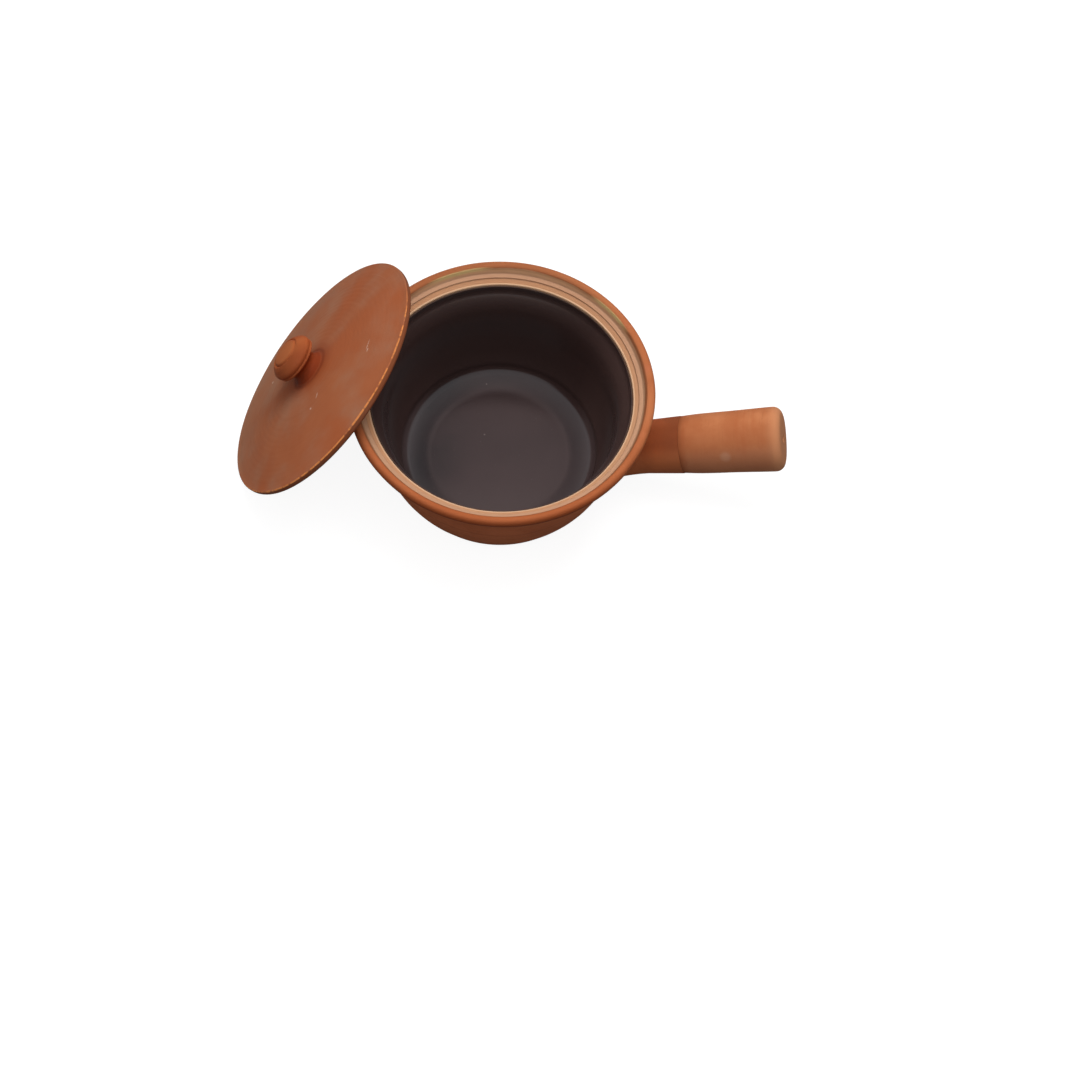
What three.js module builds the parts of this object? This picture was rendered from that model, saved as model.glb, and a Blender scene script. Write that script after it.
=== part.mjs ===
// Clay cooking pot: a thrown pot with a glazed inside, a hollow handle and a loose lid with a knob.
// Lengths are in millimetres and +Z is up. The origin is the centre of the pot's flat base, and the
// handle points along +X. The lid is off the pot: it stands on its edge and leans on the left of the rim.
import * as THREE from 'three';

// Pot, outside
const RIM_RADIUS = 100;
const POT_HEIGHT = 99;
const BASE_RADIUS = 62;
const HEEL_ROUND = 8;
const COVE_DEPTH = 4.6;
const COVE_DROP = 8.8;
// Each pair is a share of the rise from the heel to the cove, and of the reach between their radii.
const WALL_SHARES = [
  [0.12, 0.2],
  [0.243, 0.354],
  [0.37, 0.46],
  [0.493, 0.531],
  [0.657, 0.571],
  [0.773, 0.638],
  [0.864, 0.772],
  [0.937, 0.913],
];

// Lip, and the gallery inside it that the lid sits in: a steep side, a shelf, a low step and a ledge
const LIP_WIDTH = 6.8;
const LIP_TURN = THREE.MathUtils.degToRad(145);
const SHELF_REACH = 7.8;
const SHELF_DEPTH = 5.7;
const SHELF_WIDTH = 2.7;
const SHELF_DROP = 0.9;
const STEP_DEPTH = 0.9;
const LEDGE_WIDTH = 3.5;
const LEDGE_DROP = 2;
const LEDGE_ROUND = 1;

// Pot, inside
const WALL_THICKNESS = 6.4;
const FLOOR_THICKNESS = 8;
const FLOOR_RISE = 1.5;
const FLOOR_RISE_WIDTH = 9.5;
const FLOOR_FILLET = 8;

// Glaze coat on the inside of the pot
const GLAZE_THICKNESS = 0.7;
const GLAZE_GAP = 0.3;
const GLAZE_EDGE_DROP = 1.3;

// Handle: a thrown tube on a root that is smeared onto the wall
const HANDLE_HEIGHT = 30.2;
const HANDLE_PITCH = THREE.MathUtils.degToRad(18);
const HANDLE_LENGTH = 114.3;
const ROOT_LENGTH = 46.7;
const ROOT_RADIUS = 19.4;
const ROOT_NECK_RADIUS = 18.1;
const ROOT_SKIRT_LENGTH = 20;
const ROOT_SKIRT_TOP = 12;
const ROOT_SKIRT_UNDER = 5;
const GRIP_END_RADIUS = 21.7;
const GRIP_END_ROUND = 6;
const HANDLE_WALL = 6;
const VENT_RADIUS = 2.2;
const JOINT_GAP = 0.3;
// Each pair is a share of the grip's length, and of its growth from the root's radius to the end's.
const GRIP_SHARES = [
  [0, 0],
  [0.12, 0.27],
  [0.2, 0.4],
  [0.35, 0.52],
  [0.5, 0.61],
  [0.64, 0.75],
  [0.79, 0.91],
  [0.9, 1],
];

// Lid
const LID_PLAY = 0.6;
const LID_THICKNESS = 5;
const LID_TOP_ROUND = 1;
const LID_DOME = 8.5;
const LID_HOLLOW = 6.1;
const LEAN_TILT = THREE.MathUtils.degToRad(49.25);
const LEAN_TURN = THREE.MathUtils.degToRad(171.9);
const LEAN_SIDE_SHIFT = 5.3;
const LEAN_GAP = 0.3;

// Knob on the lid
const KNOB_HEIGHT = 21.9;
const KNOB_RADIUS = 16.7;
const KNOB_FOOT_RADIUS = 13.8;
const KNOB_GAP = 0.3;
// Each pair is a share of the knob's largest radius, and of its height above the foot.
const KNOB_SHARES = [
  [0.73, 0.05],
  [0.65, 0.12],
  [0.61, 0.21],
  [0.62, 0.3],
  [0.71, 0.39],
  [0.9, 0.455],
  [0.965, 0.48],
  [0.98, 0.52],
  [0.955, 0.55],
  [0.99, 0.61],
  [1, 0.66],
  [0.975, 0.72],
  [0.92, 0.775],
  [0.84, 0.84],
  [0.76, 0.885],
  [0.68, 0.915],
  [0.63, 0.892],
  [0.585, 0.925],
  [0.51, 0.965],
  [0.25, 0.99],
  [0, 1],
];

// Facets
const POT_SIDES = 48;
const HANDLE_SIDES = 32;
const ARC_STEP = THREE.MathUtils.degToRad(24);
const WALL_STEPS = 12;
const FACE_STEPS = 5;
const SOLVE_STEPS = 40;

function point(radius, height) {
  return new THREE.Vector2(radius, height);
}

// Points of an arc in an outline, both ends included, turning from one angle to the other.
function arc(centre, radius, from, to) {
  const steps = Math.max(2, Math.ceil(Math.abs(to - from) / ARC_STEP));
  const points = [];
  for (let i = 0; i <= steps; i += 1) {
    const angle = THREE.MathUtils.lerp(from, to, i / steps);
    points.push(point(centre.x + radius * Math.cos(angle), centre.y + radius * Math.sin(angle)));
  }
  return points;
}

// Turns an outline of radius and height about the Z axis.
function turned(outline, sides) {
  return new THREE.LatheGeometry(outline, sides).rotateX(Math.PI / 2);
}

function clay(color, roughness) {
  return new THREE.MeshStandardMaterial({ color, roughness, metalness: 0 });
}

function piece(name, geometry, material) {
  const mesh = new THREE.Mesh(geometry, material);
  mesh.name = name;
  return mesh;
}

const bodyClay = clay('#9a5a3a', 0.82);
const gripClay = clay('#b9754a', 0.85);
const lidClay = clay('#a25f3e', 0.8);
const darkGlaze = clay('#2a1e1d', 0.32);

const lipRound = LIP_WIDTH / 2;
const shelfRadius = RIM_RADIUS - SHELF_REACH;
const shelfHeight = POT_HEIGHT - SHELF_DEPTH;
const stepRadius = shelfRadius - SHELF_WIDTH;
const stepHeight = shelfHeight - SHELF_DROP;
const ledgeHeight = stepHeight - STEP_DEPTH - LEDGE_DROP;
const mouthRadius = stepRadius - LEDGE_WIDTH;
const lidRadius = stepRadius - LID_PLAY;
const lidEdgeRound = LID_THICKNESS / 2;

// Outer wall, from the top of the rounded heel to the cove under the lip.
const heelRadius = BASE_RADIUS + HEEL_ROUND;
const coveRadius = RIM_RADIUS - COVE_DEPTH;
const coveHeight = POT_HEIGHT - COVE_DROP;
const wallCurve = new THREE.SplineCurve([
  point(heelRadius, HEEL_ROUND),
  ...WALL_SHARES.map(([rise, reach]) => point(
    THREE.MathUtils.lerp(heelRadius, coveRadius, reach),
    THREE.MathUtils.lerp(HEEL_ROUND, coveHeight, rise),
  )),
  point(coveRadius, coveHeight),
]);
const wallPoints = wallCurve.getPoints(WALL_STEPS);

// Radius of the pot's outside at a height.
function outerRadius(height) {
  if (height < HEEL_ROUND) {
    const drop = HEEL_ROUND - Math.max(height, 0);
    return BASE_RADIUS + Math.sqrt(Math.max(HEEL_ROUND ** 2 - drop ** 2, 0));
  }
  const above = wallPoints.findIndex((p) => p.y >= height);
  if (above < 1) {
    return above === 0 ? heelRadius : coveRadius;
  }
  const low = wallPoints[above - 1];
  const high = wallPoints[above];
  return THREE.MathUtils.mapLinear(height, low.y, high.y, low.x, high.x);
}

// Inside of the pot from the axis up to a height, moved inwards by the inset. The floor rises a little
// towards the fillet.
function insideOutline(inset, topHeight) {
  const floor = FLOOR_THICKNESS + inset;
  const filletTop = FLOOR_THICKNESS + FLOOR_RISE + FLOOR_FILLET;
  const filletCentre = point(outerRadius(filletTop) - WALL_THICKNESS - FLOOR_FILLET, filletTop);
  const outline = [point(0, floor), point(filletCentre.x - FLOOR_RISE_WIDTH, floor)];
  outline.push(...arc(filletCentre, FLOOR_FILLET - inset, -Math.PI / 2, 0));
  for (let i = 1; i <= WALL_STEPS; i += 1) {
    const height = THREE.MathUtils.lerp(filletTop, topHeight, i / WALL_STEPS);
    const radius = Math.min(outerRadius(height) - WALL_THICKNESS, mouthRadius);
    outline.push(point(radius - inset, height));
  }
  return outline;
}

// The pot itself: base, wall, lip, and the gallery that a lid sits in.
function makePotBody() {
  const lipCentre = point(RIM_RADIUS - lipRound, POT_HEIGHT - lipRound);
  const heelCentre = point(BASE_RADIUS, HEEL_ROUND);
  const ledgeCentre = point(mouthRadius + LEDGE_ROUND, ledgeHeight - LEDGE_ROUND);
  const outline = [
    point(0, 0),
    ...arc(heelCentre, HEEL_ROUND, -Math.PI / 2, 0),
    ...wallPoints.slice(1),
    ...arc(lipCentre, lipRound, -Math.PI / 3, LIP_TURN),
    point(shelfRadius, shelfHeight),
    point(stepRadius, stepHeight),
    point(stepRadius, stepHeight - STEP_DEPTH),
    ...arc(ledgeCentre, LEDGE_ROUND, Math.PI / 2, Math.PI),
    ...insideOutline(0, ledgeHeight - 2 * LEDGE_ROUND).reverse(),
  ];
  return piece('pot_body', turned(outline, POT_SIDES), bodyClay);
}

// The fired glaze: a thin coat over the floor and wall, up to just below the gallery's ledge.
function makeInnerGlaze() {
  const topHeight = ledgeHeight - GLAZE_EDGE_DROP;
  const underside = insideOutline(GLAZE_GAP, topHeight);
  const face = insideOutline(GLAZE_GAP + GLAZE_THICKNESS, topHeight);
  return piece('inner_glaze', turned([...underside, ...face.reverse()], POT_SIDES), darkGlaze);
}

// A group whose local Z axis is the handle's axis, with its origin where that axis meets the wall.
function makeHandle() {
  const handle = new THREE.Group();
  handle.position.set(outerRadius(HANDLE_HEIGHT), 0, HANDLE_HEIGHT);
  handle.rotation.set(0, Math.PI / 2 - HANDLE_PITCH, 0);
  handle.updateMatrixWorld(true);
  handle.add(makeHandleRoot(handle.matrixWorld), makeHandleGrip());
  return handle;
}

// Distance along the handle's axis at which a line beside that axis meets the pot's wall.
function wallDistance(handleMatrix, radius, angle) {
  let inside = -RIM_RADIUS / 2;
  let outside = ROOT_LENGTH;
  for (let i = 0; i < SOLVE_STEPS; i += 1) {
    const middle = (inside + outside) / 2;
    const place = new THREE.Vector3(-radius * Math.cos(angle), radius * Math.sin(angle), middle);
    place.applyMatrix4(handleMatrix);
    const clear = Math.hypot(place.x, place.y) - outerRadius(place.z) > JOINT_GAP;
    if (clear) {
      outside = middle;
    } else {
      inside = middle;
    }
  }
  return outside;
}

// Outline of the root at one angle about the handle's axis: down the outside to the skirt that is
// smeared on the wall, along the wall, and back up the bore.
function rootOutline(handleMatrix, angle) {
  const topSkirtShare = (1 + Math.cos(angle)) / 2;
  const skirtReach = THREE.MathUtils.lerp(ROOT_SKIRT_UNDER, ROOT_SKIRT_TOP, topSkirtShare);
  const boreRadius = ROOT_NECK_RADIUS - HANDLE_WALL;
  const outline = [point(ROOT_RADIUS, ROOT_LENGTH - JOINT_GAP)];
  for (const lean of arc(point(0, 0), 1, Math.PI, 3 * Math.PI / 2)) {
    const radius = ROOT_NECK_RADIUS + skirtReach * (1 + lean.x);
    const lift = ROOT_SKIRT_LENGTH * (1 + lean.y);
    outline.push(point(radius, wallDistance(handleMatrix, radius, angle) + lift));
  }
  const skirtEdge = ROOT_NECK_RADIUS + skirtReach;
  for (let i = 0; i <= FACE_STEPS; i += 1) {
    const radius = THREE.MathUtils.lerp(skirtEdge, boreRadius, i / FACE_STEPS);
    outline.push(point(radius, wallDistance(handleMatrix, radius, angle)));
  }
  outline.push(point(ROOT_RADIUS - HANDLE_WALL, ROOT_LENGTH - JOINT_GAP));
  return outline;
}

function makeHandleRoot(handleMatrix) {
  const positions = [];
  const indices = [];
  let count = 0;
  for (let side = 0; side < HANDLE_SIDES; side += 1) {
    const angle = 2 * Math.PI * side / HANDLE_SIDES;
    const outline = rootOutline(handleMatrix, angle);
    count = outline.length;
    for (const p of outline) {
      positions.push(-p.x * Math.cos(angle), p.x * Math.sin(angle), p.y);
    }
  }
  for (let side = 0; side < HANDLE_SIDES; side += 1) {
    const next = (side + 1) % HANDLE_SIDES;
    for (let i = 0; i < count; i += 1) {
      const after = (i + 1) % count;
      const a = side * count + i;
      const b = side * count + after;
      const c = next * count + after;
      const d = next * count + i;
      indices.push(a, c, b, a, d, c);
    }
  }
  const geometry = new THREE.BufferGeometry();
  geometry.setAttribute('position', new THREE.Float32BufferAttribute(positions, 3));
  geometry.setIndex(indices);
  geometry.computeVertexNormals();
  return piece('handle_root', geometry, bodyClay);
}

// The grip: a tube that widens to a rounded end, which has a small vent so that it fires safely.
function makeHandleGrip() {
  const gripLength = HANDLE_LENGTH - ROOT_LENGTH;
  const side = new THREE.SplineCurve(GRIP_SHARES.map(([along, growth]) => point(
    THREE.MathUtils.lerp(ROOT_RADIUS, GRIP_END_RADIUS, growth),
    ROOT_LENGTH + gripLength * along,
  ))).getPoints(WALL_STEPS);
  const endCentre = point(GRIP_END_RADIUS - GRIP_END_ROUND, HANDLE_LENGTH - GRIP_END_ROUND);
  const boreStart = ROOT_RADIUS - HANDLE_WALL;
  const boreEnd = GRIP_END_RADIUS - HANDLE_WALL;
  const boreRound = boreEnd / 2;
  const capInside = HANDLE_LENGTH - HANDLE_WALL;
  const boreCentre = point(boreEnd - boreRound, capInside - boreRound);
  const outline = [
    ...side.filter((p) => p.y < endCentre.y),
    ...arc(endCentre, GRIP_END_ROUND, 0, Math.PI / 2),
    point(VENT_RADIUS, HANDLE_LENGTH),
    point(VENT_RADIUS, capInside),
    ...arc(boreCentre, boreRound, Math.PI / 2, 0),
    point(boreStart, ROOT_LENGTH),
    point(ROOT_RADIUS, ROOT_LENGTH),
  ];
  return piece('handle_grip', turned(outline, HANDLE_SIDES), gripClay);
}

// Height of a shallow dome above its edge, at a radius on the lid.
function domeHeight(rise, radius) {
  return rise * (1 - (radius / (lidRadius - lidEdgeRound)) ** 2);
}

// The lid's plate, about the middle of its edge: domed on top and hollowed below, with an edge that is
// crisp above and round below.
function makeLidPlate() {
  const edgeCentre = point(lidRadius - lidEdgeRound, 0);
  const under = [];
  const top = [];
  for (let i = 0; i < FACE_STEPS; i += 1) {
    const radius = edgeCentre.x * i / FACE_STEPS;
    under.push(point(radius, domeHeight(LID_HOLLOW, radius) - lidEdgeRound));
    top.unshift(point(radius, domeHeight(LID_DOME, radius) + lidEdgeRound));
  }
  const cornerCentre = point(lidRadius - LID_TOP_ROUND, lidEdgeRound - LID_TOP_ROUND);
  const lowEdge = arc(edgeCentre, lidEdgeRound, -Math.PI / 2, 0);
  const corner = arc(cornerCentre, LID_TOP_ROUND, 0, Math.PI / 2);
  return piece('lid_plate', turned([...under, ...lowEdge, ...corner, ...top], POT_SIDES), lidClay);
}

// The knob: a waisted foot, an undercut edge, a round shoulder and a small button on top.
function makeLidKnob() {
  const foot = LID_DOME + lidEdgeRound + KNOB_GAP;
  const seat = domeHeight(LID_DOME, KNOB_FOOT_RADIUS) + lidEdgeRound + KNOB_GAP;
  const outline = [
    point(0, foot),
    point(KNOB_FOOT_RADIUS, seat),
    ...KNOB_SHARES.map(([reach, rise]) => point(KNOB_RADIUS * reach, foot + KNOB_HEIGHT * rise)),
  ];
  return piece('lid_knob', turned(outline, HANDLE_SIDES), lidClay);
}

// Where the leaning lid's middle is: its edge stands on the floor and its hollow rests on the lip.
function leaningPlace() {
  const away = new THREE.Vector3(Math.cos(LEAN_TURN), Math.sin(LEAN_TURN), 0);
  const aside = new THREE.Vector3(-Math.sin(LEAN_TURN), Math.cos(LEAN_TURN), 0);
  const up = new THREE.Vector3(0, 0, 1);
  const normal = away.clone().multiplyScalar(Math.sin(LEAN_TILT)).addScaledVector(up, Math.cos(LEAN_TILT));
  const touch = away.clone().multiplyScalar(RIM_RADIUS - lipRound);
  touch.addScaledVector(up, POT_HEIGHT - lipRound).addScaledVector(normal, lipRound);
  const height = (lidRadius - lidEdgeRound) * Math.sin(LEAN_TILT) + lidEdgeRound;
  const place = new THREE.Vector3();
  let touchRadius = 0;
  for (let i = 0; i < SOLVE_STEPS; i += 1) {
    const under = domeHeight(LID_HOLLOW, touchRadius) - lidEdgeRound;
    const level = normal.dot(touch) - under + LEAN_GAP - height * normal.z;
    place.copy(away).multiplyScalar(level / Math.sin(LEAN_TILT));
    place.addScaledVector(aside, LEAN_SIDE_SHIFT).addScaledVector(up, height);
    const offset = touch.clone().sub(place);
    touchRadius = offset.addScaledVector(normal, -offset.dot(normal)).length();
  }
  return place;
}

function makeLid() {
  const lid = new THREE.Group();
  lid.add(makeLidPlate(), makeLidKnob());
  lid.rotation.set(0, LEAN_TILT, LEAN_TURN, 'ZYX');
  lid.position.copy(leaningPlace());
  return lid;
}

const cookingPot = new THREE.Group();
cookingPot.add(makePotBody(), makeInnerGlaze(), makeHandle(), makeLid());

export default cookingPot;
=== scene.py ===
"""A thrown clay saucepan with a glazed inside, a hollow handle and a loose lid that leans on its rim."""
import math

import bpy
from mathutils import Matrix, Vector


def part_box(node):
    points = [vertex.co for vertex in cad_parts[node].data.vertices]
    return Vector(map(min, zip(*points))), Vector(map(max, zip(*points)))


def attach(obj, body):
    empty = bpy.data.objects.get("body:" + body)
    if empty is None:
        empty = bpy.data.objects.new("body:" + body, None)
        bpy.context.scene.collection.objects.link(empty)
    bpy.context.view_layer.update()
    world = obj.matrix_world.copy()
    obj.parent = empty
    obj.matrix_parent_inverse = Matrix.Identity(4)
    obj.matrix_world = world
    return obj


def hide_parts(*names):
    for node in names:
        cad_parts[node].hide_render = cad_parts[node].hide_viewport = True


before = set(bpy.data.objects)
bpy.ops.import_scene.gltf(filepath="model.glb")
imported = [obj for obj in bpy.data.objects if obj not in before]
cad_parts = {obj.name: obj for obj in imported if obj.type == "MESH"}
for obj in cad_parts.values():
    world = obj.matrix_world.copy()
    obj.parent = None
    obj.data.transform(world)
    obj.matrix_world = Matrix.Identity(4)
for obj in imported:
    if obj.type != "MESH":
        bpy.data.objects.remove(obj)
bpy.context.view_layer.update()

MM = 0.001
DEGREE = math.radians(1)
QUARTER_TURN = 90 * DEGREE
HALF_TURN = 180 * DEGREE

# Pot, as the frame holds it
RIM_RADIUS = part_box("pot_body")[1].x
POT_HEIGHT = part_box("pot_body")[1].z
BASE_RADIUS = 62 * MM
HEEL_ROUND = 8 * MM
COVE_DEPTH = 4.6 * MM
COVE_DROP = 8.8 * MM
LIP_WIDTH = 6.8 * MM
LIP_TURN = 145 * DEGREE
LIP_UNDER_TURN = 60 * DEGREE
SHELF_REACH = 7.8 * MM
SHELF_DEPTH = 5.7 * MM
SHELF_WIDTH = 2.7 * MM
SHELF_DROP = 0.9 * MM
STEP_DEPTH = 0.9 * MM
LEDGE_WIDTH = 3.5 * MM
LEDGE_DROP = 2 * MM
LEDGE_ROUND = 1 * MM
WALL_THICKNESS = 6.4 * MM
FLOOR_THICKNESS = 8 * MM
FLOOR_RISE = 1.5 * MM
FLOOR_RISE_WIDTH = 9.5 * MM
FLOOR_FILLET = 8 * MM
# Each pair is a share of the rise from the heel to the cove, and of the reach between their radii.
WALL_SHARES = (
    (0, 0),
    (0.12, 0.2),
    (0.243, 0.354),
    (0.37, 0.46),
    (0.493, 0.531),
    (0.657, 0.571),
    (0.773, 0.638),
    (0.864, 0.772),
    (0.937, 0.913),
    (1, 1),
)
LIP_CENTRE = Vector((RIM_RADIUS - LIP_WIDTH / 2, POT_HEIGHT - LIP_WIDTH / 2))
LIP_INSIDE = LIP_CENTRE.x + LIP_WIDTH / 2 * math.cos(LIP_TURN)
SHELF_RADIUS = RIM_RADIUS - SHELF_REACH
SHELF_HEIGHT = POT_HEIGHT - SHELF_DEPTH
STEP_RADIUS = SHELF_RADIUS - SHELF_WIDTH
STEP_HEIGHT = SHELF_HEIGHT - SHELF_DROP
MOUTH_RADIUS = STEP_RADIUS - LEDGE_WIDTH
LEDGE_HEIGHT = STEP_HEIGHT - STEP_DEPTH - LEDGE_DROP

# Glaze coat
GLAZE_DEPTH = 1 * MM
GLAZE_EDGE_DROP = 1.3 * MM
GLAZE_SEAT = 0.05 * MM

# Handle
HANDLE_HEIGHT = 30.2 * MM
HANDLE_PITCH = 18 * DEGREE
HANDLE_LENGTH = 114.3 * MM
ROOT_LENGTH = 46.7 * MM
ROOT_RADIUS = 19.4 * MM
ROOT_NECK_RADIUS = 18.1 * MM
ROOT_NECK_LENGTH = 22 * MM
ROOT_SKIRT_TOP = 12 * MM
ROOT_SKIRT_UNDER = 5 * MM
ROOT_SINK = 0.5 * MM
GRIP_END_RADIUS = 21.7 * MM
GRIP_END_ROUND = 6 * MM
HANDLE_WALL = 6 * MM
VENT_RADIUS = 2.2 * MM
VENT_ROUND = 0.8 * MM
SEAM_DEPTH = 0.05 * MM
SEAM_WIDTH = 2 * MM
# Each pair is a share of the grip's length, and of its growth from the root's radius to the end's.
GRIP_SHARES = (
    (0, 0),
    (0.12, 0.27),
    (0.2, 0.4),
    (0.35, 0.52),
    (0.5, 0.61),
    (0.64, 0.75),
    (0.79, 0.91),
    (0.9, 1),
)

# Lid, about the middle of its edge
LID_PLAY = 0.6 * MM
LID_RADIUS = STEP_RADIUS - LID_PLAY
LID_THICKNESS = 5 * MM
LID_TOP_ROUND = 1 * MM
LID_DOME = 8.5 * MM
LID_HOLLOW = 6.1 * MM
LEAN_TILT = 49.25 * DEGREE
LEAN_TURN = 171.9 * DEGREE
LID_MIDDLE = Vector((-121.637, 11.958, 67.954)) * MM

# Knob
KNOB_HEIGHT = 21.9 * MM
KNOB_RADIUS = 16.7 * MM
KNOB_FOOT_RADIUS = 13.8 * MM
KNOB_FOOT_BLEND = 1.6 * MM
KNOB_FOOT_SINK = 0.4 * MM
KNOB_FOOT_TAPER_SHARE = 0.97
# Each pair is a share of the knob's largest radius, and of its height above the foot.
KNOB_SHARES = (
    (0.73, 0.05),
    (0.65, 0.12),
    (0.61, 0.21),
    (0.62, 0.3),
    (0.71, 0.39),
    (0.9, 0.455),
    (0.965, 0.48),
    (0.98, 0.52),
    (0.955, 0.55),
    (0.99, 0.61),
    (1, 0.66),
    (0.975, 0.72),
    (0.92, 0.775),
    (0.84, 0.84),
    (0.76, 0.885),
    (0.68, 0.915),
    (0.63, 0.892),
    (0.585, 0.925),
    (0.51, 0.965),
    (0.25, 0.99),
    (0, 1),
)

# Camera and photograph
PHOTO_SIDE = 1080
AXIS_PIXEL = (512.5, 402.5)
FOCAL_PIXELS = 1557.2
SENSOR = 36
CAMERA_DISTANCE = 1
CAMERA_ELEVATION = 59.34 * DEGREE
CAMERA_ROLL = -3.15 * DEGREE
CAMERA_TURN = 2.7 * DEGREE
CAMERA_AIM = Vector((7.5, -12.63, 99.17)) * MM

# The spacing and the depth of the rings that turning leaves
WALL_RINGS = (4.5 * MM, 0.12 * MM)
GALLERY_RINGS = (0.9 * MM, 0.06 * MM)
LID_RINGS = (4 * MM, 0.04 * MM)

# The width and the depth of the slow unevenness of a thrown surface
POT_SWELL = (40 * MM, 0.25 * MM)
GRIP_SWELL = (30 * MM, 0.3 * MM)
LID_SWELL = (50 * MM, 0.3 * MM)

# Smoothness
POT_SIDES = 192
HANDLE_SIDES = 96
ARC_STEP = 10 * DEGREE
CURVE_STEPS = 8
EASE_STEPS = 5
RING_STEPS = 6
CREASE = 40 * DEGREE
MERGE_REACH = MM / 100
BORE_SLACK = MM / 10


# Outlines

def arc(centre, radius, start, end):
    """Points of an arc in an outline of radius and height, both ends included."""
    steps = max(2, math.ceil(abs(end - start) / ARC_STEP))
    angles = [start + (end - start) * i / steps for i in range(steps + 1)]
    return [Vector((centre[0] + radius * math.cos(a), centre[1] + radius * math.sin(a))) for a in angles]


def curve(points, steps=CURVE_STEPS):
    """A smooth curve through all the points."""
    points = [Vector(p) for p in points]
    before = [points[0] * 2 - points[1], *points[:-1]]
    after = [*points[1:], points[-1] * 2 - points[-2]]
    slopes = [(b - a) / 2 for a, b in zip(before, after)]
    smooth = []
    for i in range(len(points) - 1):
        for step in range(steps):
            t = step / steps
            smooth.append(
                points[i] * (2 * t**3 - 3 * t**2 + 1)
                + slopes[i] * (t**3 - 2 * t**2 + t)
                + points[i + 1] * (3 * t**2 - 2 * t**3)
                + slopes[i + 1] * (t**3 - t**2)
            )
    return smooth + [points[-1]]


def eased(corners, reach):
    """The line through the corners, each one eased off in a short curve."""
    corners = [Vector(c) for c in corners]
    line = [corners[0]]
    for before, corner, after in zip(corners, corners[1:], corners[2:]):
        start = corner + (before - corner).normalized() * reach
        end = corner + (after - corner).normalized() * reach
        for step in range(EASE_STEPS + 1):
            t = step / EASE_STEPS
            line.append(start * (1 - t) ** 2 + corner * 2 * t * (1 - t) + end * t**2)
    return line + [corners[-1]]


def thrown(points, spacing, depth):
    """The same line with the shallow rings that turning leaves, sunk to its left and fading at its ends."""
    lengths = [0]
    for a, b in zip(points, points[1:]):
        lengths.append(lengths[-1] + (b - a).length)
    rings = max(1, round(lengths[-1] / spacing))
    steps = rings * RING_STEPS
    ringed = [points[0]]
    stretch = 0
    for step in range(1, steps):
        along = lengths[-1] * step / steps
        while lengths[stretch + 1] < along:
            stretch += 1
        a, b = points[stretch], points[stretch + 1]
        direction = (b - a).normalized()
        left = Vector((-direction.y, direction.x))
        wave = (1 - math.cos(math.tau * step / RING_STEPS)) / 2
        ringed.append(a + direction * (along - lengths[stretch]) + left * depth * wave)
    return ringed + [points[-1]]


# Modelling

def deselect():
    bpy.ops.object.select_all(action="DESELECT")


def spun(name, outline, sides):
    """Draws a closed outline of radius and height point by point, and spins it about Z."""
    deselect()
    bpy.ops.mesh.primitive_plane_add(size=MM, location=(0, 0, 0))
    piece = bpy.context.object
    piece.name = name
    bpy.ops.object.mode_set(mode="EDIT")
    bpy.ops.mesh.select_mode(type="VERT")
    bpy.ops.mesh.merge(type="CENTER")
    bpy.ops.transform.translate(value=(outline[0].x, 0, outline[0].y))
    ring = [*outline[1:], outline[0]] if outline[0].x > 0 else outline[1:]
    last = outline[0]
    for point in ring:
        step = point - last
        bpy.ops.mesh.extrude_vertices_move(TRANSFORM_OT_translate={"value": (step.x, 0, step.y)})
        last = point
    bpy.ops.mesh.select_all(action="SELECT")
    bpy.ops.mesh.spin(steps=sides, angle=math.tau, center=(0, 0, 0), axis=(0, 0, 1))
    bpy.ops.mesh.select_all(action="SELECT")
    bpy.ops.mesh.remove_doubles(threshold=MERGE_REACH)
    bpy.ops.mesh.normals_make_consistent(inside=False)
    bpy.ops.object.mode_set(mode="OBJECT")
    bpy.ops.object.shade_smooth_by_angle(angle=CREASE)
    return piece


def apply_modifiers(piece):
    """Applies all the modifiers of a piece in their order."""
    deselect()
    piece.select_set(True)
    bpy.context.view_layer.objects.active = piece
    for modifier in list(piece.modifiers):
        bpy.ops.object.modifier_apply(modifier=modifier.name)


def settle(piece, axes):
    """Moves a piece to its place and leaves the object itself at the origin."""
    deselect()
    piece.select_set(True)
    bpy.context.view_layer.objects.active = piece
    piece.matrix_world = axes
    bpy.ops.object.transform_apply(location=True, rotation=True, scale=True)


def uneven(piece, size, depth):
    """The small unevenness of a hand-thrown surface, all of it inwards."""
    texture = bpy.data.textures.new(piece.name + "_throwing", "CLOUDS")
    texture.noise_scale = size
    texture.noise_depth = 1
    modifier = piece.modifiers.new("throwing", "DISPLACE")
    modifier.texture = texture
    modifier.texture_coords = "LOCAL"
    modifier.mid_level = 1
    modifier.strength = depth
    apply_modifiers(piece)


def dress(piece, material, slot, body, *nodes):
    """Gives a finished piece its material, its body and the nodes that it stands for. The slot is not used.
    """
    piece.data.materials.clear()
    piece.data.materials.append(material)
    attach(piece, body)
    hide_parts(*nodes)


# Camera

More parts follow.
